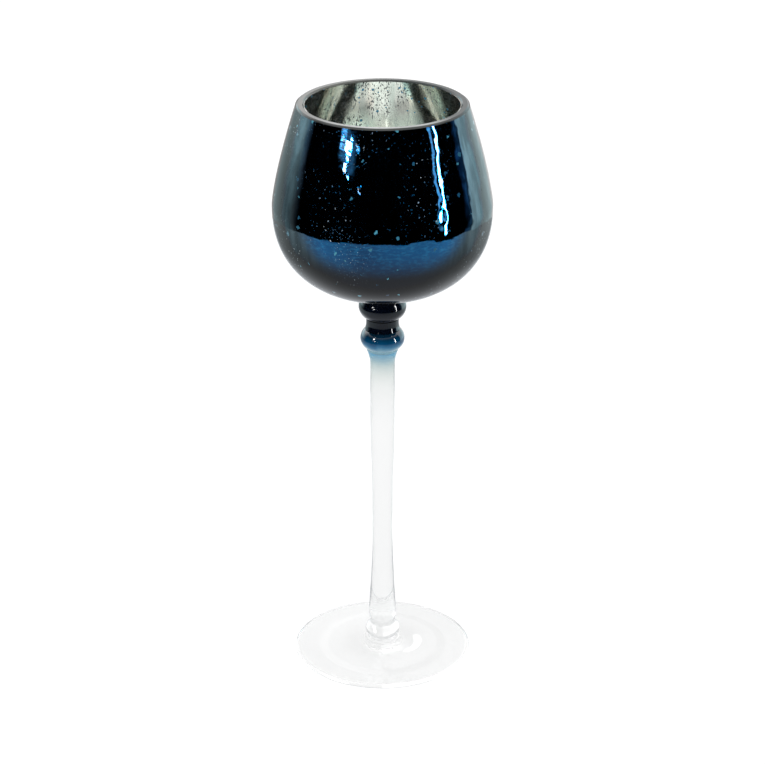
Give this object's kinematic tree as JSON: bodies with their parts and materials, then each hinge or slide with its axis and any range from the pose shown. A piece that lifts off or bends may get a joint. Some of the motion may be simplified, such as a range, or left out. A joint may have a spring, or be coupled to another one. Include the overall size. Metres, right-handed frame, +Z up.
{
  "type": "long-stemmed candle goblet",
  "caption": "Tall glass goblet for a candle: a mirrored, blue lacquered round bowl on a beaded collar, a slim clear stem and a broad low foot.",
  "frame": {"origin": "centre of the flat ring that the foot stands on, on the goblet's axis", "axes": "+Z up along the stem, from the foot to the bowl's mouth; X and Y are any two directions across, as the shape is round"},
  "size_m": [0.109, 0.109, 0.3],
  "materials": {
    "bowl_glass": "polished glass, ground and bevelled at the rim",
    "silver_mirror": "silvered from the inside, bright with darker streaks",
    "lacquer": "glossy dark metallic blue lacquer with pale flecks",
    "dark_blue_glass": "glossy glass under a dark blue lacquer that thins downwards",
    "clear_glass": "clear polished glass"
  },
  "bodies": {
    "root": {"bowl": "bowl_glass", "mirror_lining": "silver_mirror", "blue_lacquer": "lacquer", "merese": "dark_blue_glass", "neck": "dark_blue_glass", "knop": "dark_blue_glass", "stem": "clear_glass", "foot_button": "clear_glass", "foot": "clear_glass"}
  },
  "joints": []
}
